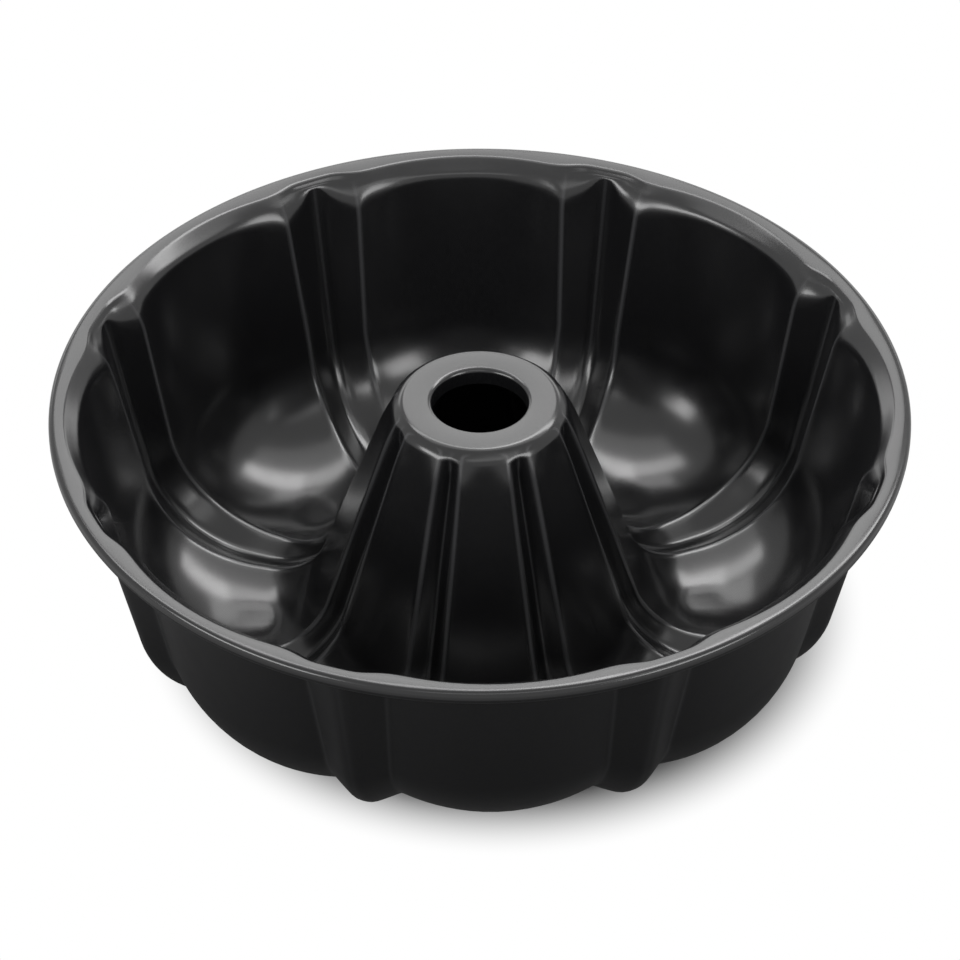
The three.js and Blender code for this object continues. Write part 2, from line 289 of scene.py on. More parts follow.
# %% Spread of the rows
LOBE_ANGLES = (16.4, 17.2, 14.7)
LOBE_ARCH = 2
RIDGE_BEND = 2.1
ADDED_BEND_AT_RIM = 8.4
FLATNESS_AT_RIM = 0.35


def share_of(value, start, end):
    """Where a value lies between two others, from 0 to 1."""
    return min(max((value - start) / (end - start), 0), 1)


lengths = [0]
for before, after in zip(sections["lobe"], sections["lobe"][1:]):
    lengths.append(lengths[-1] + math.dist(before, after))

spread = []
forming = []
for row, length in enumerate(lengths):
    down = share_of(length, lengths[nose_row], lengths[bowl_row])
    along = share_of(length, lengths[bowl_row], lengths[-1])
    at_wall = LOBE_ANGLES[0] + (LOBE_ANGLES[1] - LOBE_ANGLES[0]) * down
    angle = math.radians(at_wall + (LOBE_ANGLES[2] - at_wall) * along)
    arch = LOBE_ARCH + share_of(length, lengths[edge_row], lengths[nose_row]) - down
    plain = 1 if row < CURL_ROWS or row >= ring_row else 0
    spread.append((angle, arch, plain))
    near_rim = 1 - share_of(row, edge_row, nose_row + NOSE_STEPS // 2)
    near_rim = near_rim * near_rim * (3 - 2 * near_rim)
    bend = (RIDGE_BEND + ADDED_BEND_AT_RIM * near_rim) / sections["ridge"][row][0]
    forming.append((bend, 1 - FLATNESS_AT_RIM * near_rim, (1 - plain) * (1 - near_rim)))
print("lobes span", [2 * angle for angle in LOBE_ANGLES], "degrees at rim, wall foot and tube")

# %% [markdown]
# ## The sections as a mesh
# Geometry Nodes can read the sections if they are attributes of a mesh. Each vertex of this mesh
# is one row of the sheet, and carries its four points, drawn in the plane of the front lobe, and
# its spread. An image could hold them too, but attributes keep their full precision.

# %% Section mesh
vectors = {"spread": spread, "forming": forming}
for name, rows in sections.items():
    vectors[name] = [(0, -radius * MM, height * MM) for radius, height in rows]
section_mesh = bpy.data.meshes.new("pan_sheet")
section_mesh.from_pydata(vectors["lobe"], [], [])
for name, values in vectors.items():
    attribute = section_mesh.attributes.new(name, "FLOAT_VECTOR", "POINT")
    attribute.data.foreach_set("vector", [number for value in values for number in value])
print("section mesh carries", list(vectors))

# %% [markdown]
# ## One tree for the sheet
# The pan repeats eight times, so one tree draws one lobe, with half a flute either side, and
# copies it around the tube. Modelling the lobe by hand would fix its sizes. The tree has named
# inputs instead, so the number of lobes and the roundings can still be changed.

# %% Sheet tree
def add_node(tree, kind, inputs=(), **settings):
    """Adds a node. Its inputs are values, nodes or sockets, in order or by name."""
    node = tree.nodes.new(kind)
    for name, value in settings.items():
        setattr(node, name, value)
    for name, value in inputs.items() if isinstance(inputs, dict) else enumerate(inputs):
        if isinstance(value, bpy.types.Node):
            value = value.outputs[0]
        if isinstance(value, bpy.types.NodeSocket):
            tree.links.new(value, node.inputs[name])
        else:
            node.inputs[name].default_value = value
    return node


def new_tree(name, inputs, result):
    """A geometry tree with its named inputs, each of a kind and with a value, and its result."""
    tree = bpy.data.node_groups.new(name, "GeometryNodeTree")
    for label, kind, value in inputs:
        socket = tree.interface.new_socket(name=label, in_out="INPUT", socket_type=kind)
        if value is not None:
            socket.default_value = value
    tree.interface.new_socket(name=result, in_out="OUTPUT", socket_type="NodeSocketGeometry")
    return tree


LOBES = 8
COLUMNS = 52
FLUTE_ROUNDING = 0.2
CREASE_WIDTH = 0.9
sheet = new_tree("Lobed and fluted sheet", (
    ("Sections", "NodeSocketGeometry", None),
    ("Lobes", "NodeSocketInt", LOBES),
    ("Columns per lobe", "NodeSocketInt", COLUMNS),
    ("Flute rounding", "NodeSocketFloat", FLUTE_ROUNDING),
    ("Lowest height", "NodeSocketFloat", HALF_SHEET * MM),
    ("Crease width", "NodeSocketFloat", CREASE_WIDTH * MM),
    ("Coating", "NodeSocketMaterial", None),
), "Sheet")
given = add_node(sheet, "NodeGroupInput").outputs
print("sheet tree:", sheet.name)

# %% [markdown]
# ## A grid for one lobe
# A sheet is flat before it is pressed, and the lobe starts as a flat grid too, with a row of
# points for each row of the sections. It could be lofted from curves instead, but the points of
# a grid can be counted, and the next step needs that.

# %% Grid in the tree
counted = add_node(sheet, "GeometryNodeAttributeDomainSize", [given["Sections"]])
row_count = counted.outputs["Point Count"]
column_count = add_node(sheet, "ShaderNodeMath", [given["Columns per lobe"], 1], operation="ADD")
# Only x is used, from -1 to 1 across the lobe
grid = add_node(sheet, "GeometryNodeMeshGrid", {
    "Size X": 2, "Size Y": 1, "Vertices X": column_count, "Vertices Y": row_count})
print("one lobe has", COLUMNS, "columns")

# %% [markdown]
# ## Reading a point's row
# The grid counts its points column by column, so the remainder after dividing by the number of
# rows is a point's row. Sample Index then reads that row's points and settings. Distance to the
# nearest section could find the row as well, but counting can't pick a wrong one.

# %% Rows in the tree
number = add_node(sheet, "GeometryNodeInputIndex")
row = add_node(sheet, "ShaderNodeMath", [number, row_count], operation="MODULO")
rows_of = {}
for name in vectors:
    named = add_node(sheet, "GeometryNodeInputNamedAttribute", {
        "Name": name}, data_type="FLOAT_VECTOR")
    rows_of[name] = add_node(sheet, "GeometryNodeSampleIndex", {
        "Geometry": given["Sections"], "Value": named, "Index": row}, data_type="FLOAT_VECTOR")
spread_of = add_node(sheet, "ShaderNodeSeparateXYZ", [rows_of["spread"]]).outputs
lobe_angle, arch_power, is_plain = spread_of["X"], spread_of["Y"], spread_of["Z"]
forming_of = add_node(sheet, "ShaderNodeSeparateXYZ", [rows_of["forming"]]).outputs
ridge_bend, slope_end, highlight_share = forming_of["X"], forming_of["Y"], forming_of["Z"]
print("tree reads", list(rows_of))

# %% [markdown]
# ## Columns that crowd where the sheet bends
# Evenly spread columns would waste points on the smooth middle of a lobe and leave the ridges
# rough. Here they crowd towards the ridge from both sides, and towards the flute's bottom. The
# angle past the ridge is what the next steps need: less than nothing on the lobe, more in the
# flute.

# %% Columns in the tree
LOBE_PART = 0.54
CROWDING = 2.2
position = add_node(sheet, "GeometryNodeInputPosition")
across = add_node(sheet, "ShaderNodeSeparateXYZ", [position]).outputs["X"]
aside = add_node(sheet, "ShaderNodeMath", [across], operation="ABSOLUTE")
half_pitch = add_node(sheet, "ShaderNodeMath", [math.pi, given["Lobes"]], operation="DIVIDE")
flute_angle = add_node(sheet, "ShaderNodeMath", [half_pitch, lobe_angle], operation="SUBTRACT")
to_ridge = add_node(sheet, "ShaderNodeMapRange", {
    "Value": aside, "From Max": LOBE_PART, "To Min": 1, "To Max": 0})
crowded = add_node(sheet, "ShaderNodeMath", [to_ridge, CROWDING], operation="POWER")
before_ridge = add_node(sheet, "ShaderNodeMath", [crowded, lobe_angle], operation="MULTIPLY")
into_flute = add_node(sheet, "ShaderNodeMapRange", {
    "Value": aside, "From Min": LOBE_PART}, interpolation_type="SMOOTHSTEP")
inside_flute = add_node(sheet, "ShaderNodeMath", [into_flute, flute_angle], operation="MULTIPLY")
past_ridge = add_node(sheet, "ShaderNodeMath", [inside_flute, before_ridge], operation="SUBTRACT")
column_angle = add_node(sheet, "ShaderNodeMath", [lobe_angle, past_ridge], operation="ADD")
print("columns on a lobe's half:", round(COLUMNS / 2 * LOBE_PART))

# %% [markdown]
# ## Lobe, ridge and flute
# Across a lobe the sheet rises from the lobe's section to the ridge's, along a curve that steepens
# towards the ridge. Past the ridge it sinks into the flute. Steel can't be folded sharp in a
# press, so Smooth Maximum bends the ridge over some millimetres, and Smooth Minimum rounds the
# flute's bottom. A Bevel modifier could round them later, but it would round every row alike.

# %% Rise and sink in the tree
past = add_node(sheet, "ShaderNodeMath", [past_ridge, 0, ridge_bend], operation="SMOOTH_MAX")
up_lobe = add_node(sheet, "ShaderNodeMath", [column_angle, past], operation="SUBTRACT")
up_share = add_node(sheet, "ShaderNodeMath", [up_lobe, lobe_angle], operation="DIVIDE")
rise = add_node(sheet, "ShaderNodeMath", [up_share, arch_power], operation="POWER")
depth = add_node(sheet, "ShaderNodeMath", [past, flute_angle], operation="DIVIDE")
overshoot = add_node(sheet, "ShaderNodeMath", [1, given["Flute rounding"]], operation="ADD")
slope = add_node(sheet, "ShaderNodeMapRange", {
    "Value": depth, "From Max": slope_end, "To Max": overshoot})
sink = add_node(sheet, "ShaderNodeMath", [slope, 1, given["Flute rounding"]], operation="SMOOTH_MIN")
print("tree has", len(sheet.nodes), "nodes so far")

# %% [markdown]
# ## Points on the sheet
# Rise and sink mix the four sections to one point. In the flute, three mixes in a row make a
# Bezier curve from the ridge to the flute's bottom, with the flank's section as its handle. That
# gives the flutes their soft shoulders under the rim, which a straight mix would leave flat. The
# lowest spot of each lobe is pressed level, as a foot, and the point is turned to its angle.

# %% Points in the tree
# A Mix node has its own pair of inputs, and its own output, for each kind of value
NUMBER_A, NUMBER_B = 2, 3
VECTOR_A, VECTOR_B, VECTOR_MIX = 4, 5, 1
# Far outside the pan, in metres, so that only the height is limited
NO_LIMIT = -1
on_lobe = add_node(sheet, "ShaderNodeMix", {
    "Factor": rise, VECTOR_A: rows_of["lobe"], VECTOR_B: rows_of["ridge"],
}, data_type="VECTOR").outputs[VECTOR_MIX]
upper_flank = add_node(sheet, "ShaderNodeMix", {
    "Factor": sink, VECTOR_A: on_lobe, VECTOR_B: rows_of["flank"],
}, data_type="VECTOR").outputs[VECTOR_MIX]
lower_flank = add_node(sheet, "ShaderNodeMix", {
    "Factor": sink, VECTOR_A: rows_of["flank"], VECTOR_B: rows_of["flute"],
}, data_type="VECTOR").outputs[VECTOR_MIX]
drawn = add_node(sheet, "ShaderNodeMix", {
    "Factor": sink, VECTOR_A: upper_flank, VECTOR_B: lower_flank,
}, data_type="VECTOR").outputs[VECTOR_MIX]
lowest = add_node(sheet, "ShaderNodeCombineXYZ", [NO_LIMIT, NO_LIMIT, given["Lowest height"]])
footed = add_node(sheet, "ShaderNodeVectorMath", [drawn, lowest], operation="MAXIMUM")
even_angle = add_node(sheet, "ShaderNodeMath", [aside, half_pitch], operation="MULTIPLY")
row_angle = add_node(sheet, "ShaderNodeMix", {
    "Factor": is_plain, NUMBER_A: column_angle, NUMBER_B: even_angle})
side = add_node(sheet, "ShaderNodeMath", [across], operation="SIGN")
angle = add_node(sheet, "ShaderNodeMath", [side, row_angle], operation="MULTIPLY")
placed = add_node(sheet, "ShaderNodeVectorRotate", {
    "Vector": footed, "Angle": angle}, rotation_type="Z_AXIS")
print("tree has", len(sheet.nodes), "nodes so far")

# %% [markdown]
# ## Creases that catch the light
# Along each ridge, and fainter along each flute's bottom, a pale line is painted into the coating
# as a highlight, where the sharp bends catch the light. The sheet stores how near a point is to
# such a line, so that the coating can paint it. The lines could be found from the mesh's curvature
# while rendering, but an attribute is exact and is kept by the export.

# %% Creases in the tree
# Strengths of the highlight lines painted along the ridges and the flutes' bottoms
RIDGE_SHINE = 1.0
FLUTE_SHINE = 0.4
from_bottom = add_node(sheet, "ShaderNodeMath", [flute_angle, inside_flute], operation="SUBTRACT")
ridge_reach = add_node(sheet, "ShaderNodeSeparateXYZ", [rows_of["ridge"]]).outputs["Y"]
lines = []
for angle_away, strength in ((past_ridge, RIDGE_SHINE), (from_bottom, FLUTE_SHINE)):
    signed = add_node(sheet, "ShaderNodeMath", [angle_away, ridge_reach], operation="MULTIPLY")
    distance = add_node(sheet, "ShaderNodeMath", [signed], operation="ABSOLUTE")
    lines.append(add_node(sheet, "ShaderNodeMapRange", {
        "Value": distance, "From Max": given["Crease width"], "To Min": strength, "To Max": 0,
    }, interpolation_type="SMOOTHSTEP"))
strongest = add_node(sheet, "ShaderNodeMath", lines, operation="MAXIMUM")
crease_highlight = add_node(sheet, "ShaderNodeMath", [strongest, highlight_share], operation="MULTIPLY")
marked = add_node(sheet, "GeometryNodeStoreNamedAttribute", {
    "Geometry": grid, "Name": "crease_highlight", "Value": crease_highlight}, data_type="FLOAT", domain="POINT")
print("creases are", CREASE_WIDTH, "mm wide to either side")

# %% [markdown]
# ## Eight lobes around the tube
# The lobe is set on eight points that all lie on the axis, each turned by its share of the
# circle. Realize Instances makes them real, and Merge by Distance joins their edges, which lie in
# the flutes' bottoms. An Array modifier with an offset object would do the same, but needs an
# extra empty object.

# %% Copies in the tree
JOIN_DISTANCE = 0.004
one_lobe = add_node(sheet, "GeometryNodeSetPosition", {"Geometry": marked, "Position": placed})
places = add_node(sheet, "GeometryNodePoints", {"Count": given["Lobes"]})
pitch = add_node(sheet, "ShaderNodeMath", [half_pitch, 2], operation="MULTIPLY")
lobe_number = add_node(sheet, "GeometryNodeInputIndex")
lobe_turn = add_node(sheet, "ShaderNodeMath", [lobe_number, pitch], operation="MULTIPLY")
turn = add_node(sheet, "ShaderNodeCombineXYZ", [0, 0, lobe_turn])
copies = add_node(sheet, "GeometryNodeInstanceOnPoints", {
    "Points": places, "Instance": one_lobe, "Rotation": turn})
realized = add_node(sheet, "GeometryNodeRealizeInstances", [copies])
joined = add_node(sheet, "GeometryNodeMergeByDistance", {
    "Geometry": realized, "Distance": JOIN_DISTANCE * MM})
coated = add_node(sheet, "GeometryNodeSetMaterial", {
    "Geometry": joined, "Material": given["Coating"]})
add_node(sheet, "NodeGroupOutput", [coated])
print("sheet tree has", len(sheet.nodes), "nodes")

# %% [markdown]
# ## Colours
# A finish's colour is written as an sRGB hex value, as a colour chart gives it, but shaders
# reckon with linear light. One function turns the first into the second. A colour could also be
# typed in as linear numbers, but those are hard to compare with a chart.

# %% Colours
def linear(hex_colour):
    """An sRGB hex colour as the linear colour that shaders take."""
    channels = [int(hex_colour[start:start + 2], 16) / 255 for start in (1, 3, 5)]
    return [c / 12.92 if c <= 0.04045 else ((c + 0.055) / 1.055) ** 2.4 for c in channels] + [1]


print("a middle grey:", [round(c, 3) for c in linear("#808080")])

# %% [markdown]
# ## The non-stick coating
# The coating is a baked polymer film on steel, sprayed on and cured. Inside, it flows out to a
# smooth dark gloss, so that cake lets go. Outside it is a thinner, satin coat. Both are nearly
# black. A sprayed film is never perfectly level: it has a faint waviness a few millimetres
# across, and a fine grain of pigment, which is drawn coarser than real so that it shows. A flat
# black with one roughness would look like plastic.

# %% Coating
GRAIN_SIZE = 0.9 * MM
WAVE_SIZE = 7 * MM
GRAIN_RANGE = (0.35, 0.8)
FILM_IOR = 1.5
UNEVENNESS = 0.03
# Pale grey of the highlight lines painted along the ridges and the flutes' bottoms
HIGHLIGHT_LINE_COLOUR = "#6a6a6c"
COLOUR_A, COLOUR_B, COLOUR_MIX = 6, 7, 2


def new_material(name):
    """A new material, with its tree and its Principled shader."""
    material = bpy.data.materials.new(name)
    material.use_nodes = True
    return material, material.node_tree, material.node_tree.nodes["Principled BSDF"]


def coating(name, colour, fleck, roughness, gloss, wave_height, grain_height, highlight_strength):
    """A sprayed and baked coating: pigment grain, uneven gloss, and a faint waviness."""
    material, tree, shader = new_material(name)
    shader.inputs["IOR"].default_value = FILM_IOR
    shader.inputs["Specular IOR Level"].default_value = gloss
    place = add_node(tree, "ShaderNodeTexCoord").outputs["Object"]
    grain = add_node(tree, "ShaderNodeTexNoise", {
        "Vector": place, "Scale": 1 / GRAIN_SIZE, "Detail": 2})
    wave = add_node(tree, "ShaderNodeTexNoise", {
        "Vector": place, "Scale": 1 / WAVE_SIZE, "Detail": 1})
    pigment = add_node(tree, "ShaderNodeMapRange", {
        "Value": grain, "From Min": GRAIN_RANGE[0], "From Max": GRAIN_RANGE[1]})
    speckled = add_node(tree, "ShaderNodeMix", {
        "Factor": pigment, COLOUR_A: linear(colour), COLOUR_B: linear(fleck),
    }, data_type="RGBA").outputs[COLOUR_MIX]
    # The pale lines along the creases are painted highlights, not wear
    crease_highlights = add_node(tree, "ShaderNodeAttribute", attribute_name="crease_highlight").outputs["Fac"]
    highlight_amount = add_node(tree, "ShaderNodeMath", [crease_highlights, highlight_strength], operation="MULTIPLY")
    colours = add_node(tree, "ShaderNodeMix", {
        "Factor": highlight_amount, COLOUR_A: speckled, COLOUR_B: linear(HIGHLIGHT_LINE_COLOUR),
    }, data_type="RGBA").outputs[COLOUR_MIX]
    uneven = add_node(tree, "ShaderNodeMapRange", {
        "Value": wave, "To Min": roughness - UNEVENNESS, "To Max": roughness + UNEVENNESS})
    waviness = add_node(tree, "ShaderNodeBump", {"Height": wave, "Distance": wave_height * MM})
    grained = add_node(tree, "ShaderNodeBump", {
        "Height": grain, "Distance": grain_height * MM, "Normal": waviness})
    tree.links.new(colours, shader.inputs["Base Color"])
    tree.links.new(uneven.outputs[0], shader.inputs["Roughness"])
    tree.links.new(grained.outputs[0], shader.inputs["Normal"])
    return material


print("grain is drawn", round(GRAIN_SIZE / MM, 2), "mm across")

# %% [markdown]
# ## Gloss and satin
# The two coats are the same film, sprayed thick and thin. The gloss coat is smoother and mirrors
# more, and the pale highlight lines painted on its ridges are stronger. One coat for both
# sides would be simpler, but the outside of the real pan is clearly duller.

# %% Coats as materials
# Gloss: soft-edged mirror images of the lights on near black, and pale painted highlight lines on the
# ridges
inside_coat = coating("baked nonstick coating, gloss", "#101011", "#161617", roughness=0.2, gloss=0.5,
                      wave_height=0.003, grain_height=0.0012, highlight_strength=0.25)
# Satin: an even charcoal with a weak, wide shine and faint painted highlight lines, a little rougher to
# the eye
outside_coat = coating("baked nonstick coating, satin", "#0d0d0e", "#131314", roughness=0.42, gloss=0.2,
                       wave_height=0.004, grain_height=0.0025, highlight_strength=0.06)
print("coatings:", inside_coat.name, "and", outside_coat.name)

# %% [markdown]
# ## The sheet
# The tree is a modifier on the section mesh. A Solidify modifier after it gives the sheet its
# real 0.8 mm, half to either side. The thickness could be drawn in the sections, but an even
# offset keeps it true on every slope. The result becomes a plain mesh, because the tree's work is
# then done.

# %% Sheet
def set_input(modifier, name, value):
    """Sets an input of a tree's modifier by its socket's identifier."""
    for item in modifier.node_group.interface.items_tree:
        if item.in_out == "INPUT" and item.name == name:
            modifier[item.identifier] = value


def plain_mesh(piece, name):
    """A piece's modifiers worked out into a plain mesh, and the modifiers removed."""
    bpy.context.view_layer.update()
    evaluated = piece.evaluated_get(bpy.context.evaluated_depsgraph_get())
    mesh = bpy.data.meshes.new_from_object(evaluated)
    piece.modifiers.clear()
    piece.data = mesh
    mesh.name = name
    return mesh


SHARP_EDGE = math.radians(50)
pan = bpy.data.objects.new("pan_sheet", section_mesh)
scene.collection.objects.link(pan)
drawing = pan.modifiers.new("sheet", "NODES")
drawing.node_group = sheet
set_input(drawing, "Coating", inside_coat)
thickness = pan.modifiers.new("thickness", "SOLIDIFY")
thickness.thickness = SHEET * MM
thickness.offset = 0
thickness.use_even_offset = True
thickness.use_quality_normals = True
pan_mesh = plain_mesh(pan, "pan_sheet")
pan_mesh.shade_smooth()
pan_mesh.set_sharp_from_angle(angle=SHARP_EDGE)
print("sheet has", sum(len(face.vertices) - 2 for face in pan_mesh.polygons), "triangles")

# %% [markdown]
# ## Which coat goes where
# The gloss coat is sprayed from above and the satin coat from below. Solidify lists the two faces
# of the sheet one after the other and then its cut edges, so the coats follow that order. The
# spray from above doesn't reach the underside of the rolled rim, so it is satin too. The faces
# could be sorted by their direction alone, but the upright ones in the tube's hole point neither
# up nor down.

# %% Coats
GLOSS, SATIN = 0, 1
# The curl's underside lies outside this radius and below this height
CURL_UNDERSIDE = (122, 82.3)
one_face = LOBES * COLUMNS * (sum(part_sizes) - 1)
lowest_face = min(pan_mesh.polygons[:one_face], key=lambda face: face.center.z)
above, below = [GLOSS] * one_face, [SATIN] * one_face
coats = above + below if lowest_face.normal.z > 0 else below + above
coats += [SATIN] * (len(pan_mesh.polygons) - len(coats))
for face in pan_mesh.polygons:
    if face.center.xy.length > CURL_UNDERSIDE[0] * MM and face.center.z < CURL_UNDERSIDE[1] * MM:
        coats[face.index] = SATIN
pan_mesh.materials.clear()
pan_mesh.materials.append(inside_coat)
pan_mesh.materials.append(outside_coat)
pan_mesh.polygons.foreach_set("material_index", coats)
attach(pan, "root")
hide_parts("pan_shell")
print("gloss faces:", coats.count(GLOSS), "and satin faces:", coats.count(SATIN))

# %% [markdown]
# ## The wire's steel
# The wire is mild steel, drawn through a die and left bare, because the rolled rim hides it.
# Drawing leaves it bright, with fine pits and a faint dullness from the oil of the die, both drawn
# coarser than real. A plain metal would do where nothing shows, but a part may be looked at with
# its rim cut open.

# %% Wire material
PIT_SIZE = 0.6 * MM
PIT_DEPTH = 0.004 * MM
DARK_STEEL = "#7c7e82"
BRIGHT_STEEL = "#9a9ca0"
STEEL_ROUGHNESS = (0.28, 0.46)
wire_steel, tree, shader = new_material("bare drawn steel wire")
shader.inputs["Metallic"].default_value = 1
place = add_node(tree, "ShaderNodeTexCoord").outputs["Object"]
pits = add_node(tree, "ShaderNodeTexNoise", {"Vector": place, "Scale": 1 / PIT_SIZE, "Detail": 3})
# Bright grey with duller patches, as the oil leaves them
greys = add_node(tree, "ShaderNodeMix", {
    "Factor": pits, COLOUR_A: linear(DARK_STEEL), COLOUR_B: linear(BRIGHT_STEEL),
}, data_type="RGBA").outputs[COLOUR_MIX]
dullness = add_node(tree, "ShaderNodeMapRange", {
    "Value": pits, "To Min": STEEL_ROUGHNESS[0], "To Max": STEEL_ROUGHNESS[1]})
pitted = add_node(tree, "ShaderNodeBump", {"Height": pits, "Distance": PIT_DEPTH})
tree.links.new(greys, shader.inputs["Base Color"])
tree.links.new(dullness.outputs[0], shader.inputs["Roughness"])
tree.links.new(pitted.outputs[0], shader.inputs["Normal"])
print("wire material:", wire_steel.name)

# %% [markdown]
# ## The wire in the rim
# A thin rim would bend when the pan is knocked, so it is rolled around a stiff wire. The wire is
# a round bar bent to a ring, and its ends nearly meet. A torus primitive would close the ring. An
# arc with a round profile leaves the real gap, and its sizes stay named inputs of the tree.

# %% Wire tree
WIRE_RADIUS = 1.3
END_GAP = 1
RING_POINTS = 145
BAR_POINTS = 16
wire_tree = new_tree("Wire bent to a ring", (
    ("Start", "NodeSocketGeometry", None),
    ("Ring radius", "NodeSocketFloat", BEAD_CENTRE[0] * MM),
    ("Wire radius", "NodeSocketFloat", WIRE_RADIUS * MM),
    ("Height", "NodeSocketFloat", BEAD_CENTRE[1] * MM),
    ("End gap", "NodeSocketFloat", END_GAP * MM),
    ("Metal", "NodeSocketMaterial", None),
), "Wire")
wanted = add_node(wire_tree, "NodeGroupInput").outputs
gap_angle = add_node(wire_tree, "ShaderNodeMath", [
    wanted["End gap"], wanted["Ring radius"]], operation="DIVIDE")
half_gap = add_node(wire_tree, "ShaderNodeMath", [gap_angle, 2], operation="DIVIDE")
start = add_node(wire_tree, "ShaderNodeMath", [half_gap, math.pi / 2], operation="SUBTRACT")
sweep = add_node(wire_tree, "ShaderNodeMath", [2 * math.pi, gap_angle], operation="SUBTRACT")
ring = add_node(wire_tree, "GeometryNodeCurveArc", {
    "Resolution": RING_POINTS, "Radius": wanted["Ring radius"],
    "Start Angle": start, "Sweep Angle": sweep})
bar = add_node(wire_tree, "GeometryNodeCurvePrimitiveCircle", {
    "Resolution": BAR_POINTS, "Radius": wanted["Wire radius"]})
bent = add_node(wire_tree, "GeometryNodeCurveToMesh", {
    "Curve": ring, "Profile Curve": bar, "Fill Caps": True})
lift = add_node(wire_tree, "ShaderNodeCombineXYZ", [0, 0, wanted["Height"]])
lifted = add_node(wire_tree, "GeometryNodeTransform", {"Geometry": bent, "Translation": lift})
realized = add_node(wire_tree, "GeometryNodeRealizeInstances", [lifted])
finished = add_node(wire_tree, "GeometryNodeSetMaterial", {
    "Geometry": realized, "Material": wanted["Metal"]})
add_node(wire_tree, "NodeGroupOutput", [finished])
print("wire tree has", len(wire_tree.nodes), "nodes")

# %% [markdown]
# ## The wire as a piece
# The tree is worked out to a plain mesh, as the sheet's was, and the piece then stands for the
# wire's solid. It lies loose in the curl, with some tenths of a millimetre to spare, as a wire
# does that a rim is rolled around.

# %% Wire
wire = bpy.data.objects.new("rim_ring_wire", bpy.data.meshes.new("rim_ring_wire"))
scene.collection.objects.link(wire)
bending = wire.modifiers.new("wire", "NODES")
bending.node_group = wire_tree
set_input(bending, "Metal", wire_steel)
wire_mesh = plain_mesh(wire, "rim_ring_wire")
wire_mesh.shade_smooth()
wire_mesh.set_sharp_from_angle(angle=SHARP_EDGE)
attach(wire, "root")
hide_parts("rim_wire")
print("wire has", sum(len(face.vertices) - 2 for face in wire_mesh.polygons), "triangles")

# %% [markdown]
# ## The floor
# The photograph has a white ground, with only a narrow, dark shadow under the pan. The floor is
# a matt grey card near the pan, which keeps the shadow, and its grey is painted shade that makes
# that shadow darker. Further out it turns to plain white: soon for the camera, and later in the
# pan's reflections, because the outside of the pan mirrors the shaded ground at its foot. A
# brighter lamp could bleach the floor too, but also the pan. Sizes and places on the stage are in
# metres.

# %% Floor material
SHADOW_CENTRE = (0.007, 0.006, 0)
SEEN_FADE = (0.084, 0.113)
MIRRORED_FADE = (0.13, 0.32)
# Grey of the card near the pan: painted shade under the lamps' real shadow
CARD_SHADE_GREY = "#8c8c8c"
CARD_ROUGHNESS = 0.9
# Card: no shine of its own; its grey near the pan is painted shade that deepens the real shadow
floor_material, tree, card = new_material("matt grey card")
card.inputs["Base Color"].default_value = linear(CARD_SHADE_GREY)
card.inputs["Roughness"].default_value = CARD_ROUGHNESS
card.inputs["Specular IOR Level"].default_value = 0
rays = add_node(tree, "ShaderNodeLightPath").outputs
on_floor = add_node(tree, "ShaderNodeTexCoord").outputs["Object"]
away = add_node(tree, "ShaderNodeVectorMath", [
    on_floor, SHADOW_CENTRE], operation="DISTANCE").outputs["Value"]
# Near the pan the grey card shows as painted shade, and further out it turns white
near = add_node(tree, "ShaderNodeMapRange", {
    "Value": away, "From Min": SEEN_FADE[0], "From Max": SEEN_FADE[1]}, interpolation_type="SMOOTHSTEP")
far = add_node(tree, "ShaderNodeMapRange", {
    "Value": away, "From Min": MIRRORED_FADE[0], "From Max": MIRRORED_FADE[1],
}, interpolation_type="SMOOTHSTEP")
seen = add_node(tree, "ShaderNodeMath", [
    rays["Is Camera Ray"], rays["Is Transmission Ray"]], operation="MAXIMUM")
seen_white = add_node(tree, "ShaderNodeMath", [seen, near], operation="MULTIPLY")
mirrored_white = add_node(tree, "ShaderNodeMath", [rays["Is Glossy Ray"], far], operation="MULTIPLY")
white = add_node(tree, "ShaderNodeMath", [seen_white, mirrored_white], operation="MAXIMUM")
glow = add_node(tree, "ShaderNodeEmission", {"Strength": 1})
both = add_node(tree, "ShaderNodeMixShader", [white, card, glow])
tree.links.new(both.outputs[0], tree.nodes["Material Output"].inputs["Surface"])
print("floor material:", floor_material.name)

# %% [markdown]
# ## The floor as a piece
# One flat square is enough, if it is so wide that its edge lies far behind the pan in every
# view. A curved backdrop would hide the edge as well, but the white world behind it already
# does. The floor belongs to the stage and not to the pan.

# %% Floor
FLOOR_REACH = 6
corners = [(-FLOOR_REACH, -FLOOR_REACH, 0), (FLOOR_REACH, -FLOOR_REACH, 0),
           (FLOOR_REACH, FLOOR_REACH, 0), (-FLOOR_REACH, FLOOR_REACH, 0)]
floor_mesh = bpy.data.meshes.new("floor")
floor_mesh.from_pydata(corners, [], [(0, 1, 2, 3)])
floor_mesh.materials.append(floor_material)
floor = bpy.data.objects.new("floor", floor_mesh)
scene.collection.objects.link(floor)
print("floor is", 2 * FLOOR_REACH, "m wide")

# %% [markdown]
# ## The white studio
# The world is white to the camera and in reflections, and dimmer as a light, so that the pan's
# dark coating isn't washed out. A backdrop sheet would give the same white from the front only.

# %% World
WORLD_LIGHT = 0.25
world = bpy.data.worlds.new("white studio")
scene.world = world
world.use_nodes = True
tree = world.node_tree
rays = add_node(tree, "ShaderNodeLightPath").outputs
seen = add_node(tree, "ShaderNodeMath", [
    rays["Is Camera Ray"], rays["Is Transmission Ray"]], operation="MAXIMUM")
seen = add_node(tree, "ShaderNodeMath", [seen, rays["Is Glossy Ray"]], operation="MAXIMUM")
bright = add_node(tree, "ShaderNodeMapRange", {"Value": seen, "To Min": WORLD_LIGHT, "To Max": 1})
tree.links.new(bright.outputs[0], tree.nodes["Background"].inputs["Strength"])
tree.nodes["Background"].inputs["Color"].default_value = (1, 1, 1, 1)
print("world:", world.name)

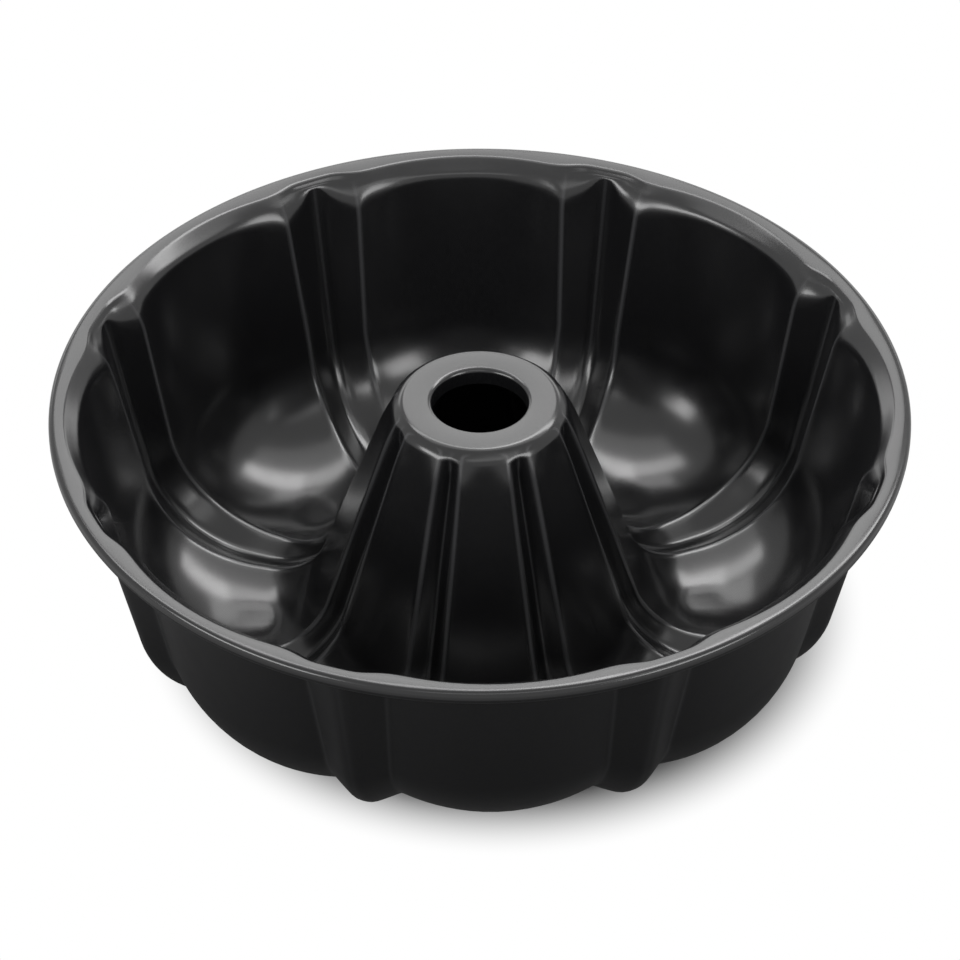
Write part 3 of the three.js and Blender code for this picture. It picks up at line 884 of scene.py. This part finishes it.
# %% [markdown]
# ## Soft panels
# On a glossy dark pan, the shine is the picture: what the eye sees is the lamps' reflections. The
# back part of a large panel overhead lies on the rim's land and the tube's ring, its bright edge
# makes the streaks in the bowls, and its dim front the grey above them. A low panel at the back
# takes over where the front of the rim slopes away, and panels in front and at the sides make the
# smaller shines. One even panel would fill the bowls with grey, and point lamps would make hard
# sparks. The edges only shine in the gloss and light nothing else, so that colours come out as
# they are written. A fill panel, which isn't mirrored, softens the shadow.

# %% Soft panels
def soft_panel(name, place, aim, width, height, brightness, mirrored=True, lighting=True):
    """A soft box of a size in metres. Brightness 1 is the white of the background."""
    lamp = bpy.data.lights.new(name, "AREA")
    lamp.shape = "RECTANGLE"
    lamp.size = width
    lamp.size_y = height
    lamp.energy = brightness * math.pi * width * height
    panel = bpy.data.objects.new(name, lamp)
    panel.location = place
    panel.rotation_euler = (Vector(aim) - Vector(place)).to_track_quat("-Z", "Y").to_euler()
    panel.visible_camera = False
    panel.visible_glossy = mirrored
    panel.visible_diffuse = lighting
    scene.collection.objects.link(panel)


soft_panel("top panel, back part", (0, 0.49, 0.42), (0, 0.49, 0), 0.34, 0.44, 3.05)
soft_panel("top panel, bright edge", (0.25, 0.20, 0.42), (0.25, 0.20, 0), 0.46, 0.12, 10.5,
           lighting=False)
soft_panel("top panel, dim edge", (-0.13, 0.19, 0.42), (-0.13, 0.19, 0), 0.30, 0.10, 7.0,
           lighting=False)
soft_panel("top panel, front part", (0.085, 0.07, 0.42), (0.085, 0.07, 0), 0.67, 0.15, 1.4)
soft_panel("fill panel", (0.085, 0.36, 0.44), (0.085, 0.36, 0), 0.67, 0.70, 0.9, mirrored=False)
soft_panel("back panel", (0, 1.0, 0.375), (0, 0, 0.083), 1.6, 0.25, 1.9)
soft_panel("front panel", (0.10, -0.36, 0.45), (0, 0, 0.05), 0.50, 0.13, 1.4)
soft_panel("right panel", (0.80, -0.78, 0.52), (0, 0, 0.05), 0.55, 0.42, 7.0)
soft_panel("left panel", (-0.94, -0.58, 0.53), (0, 0, 0.05), 0.80, 0.36, 8.5)
print("panels:", [lamp.name for lamp in bpy.data.lights])
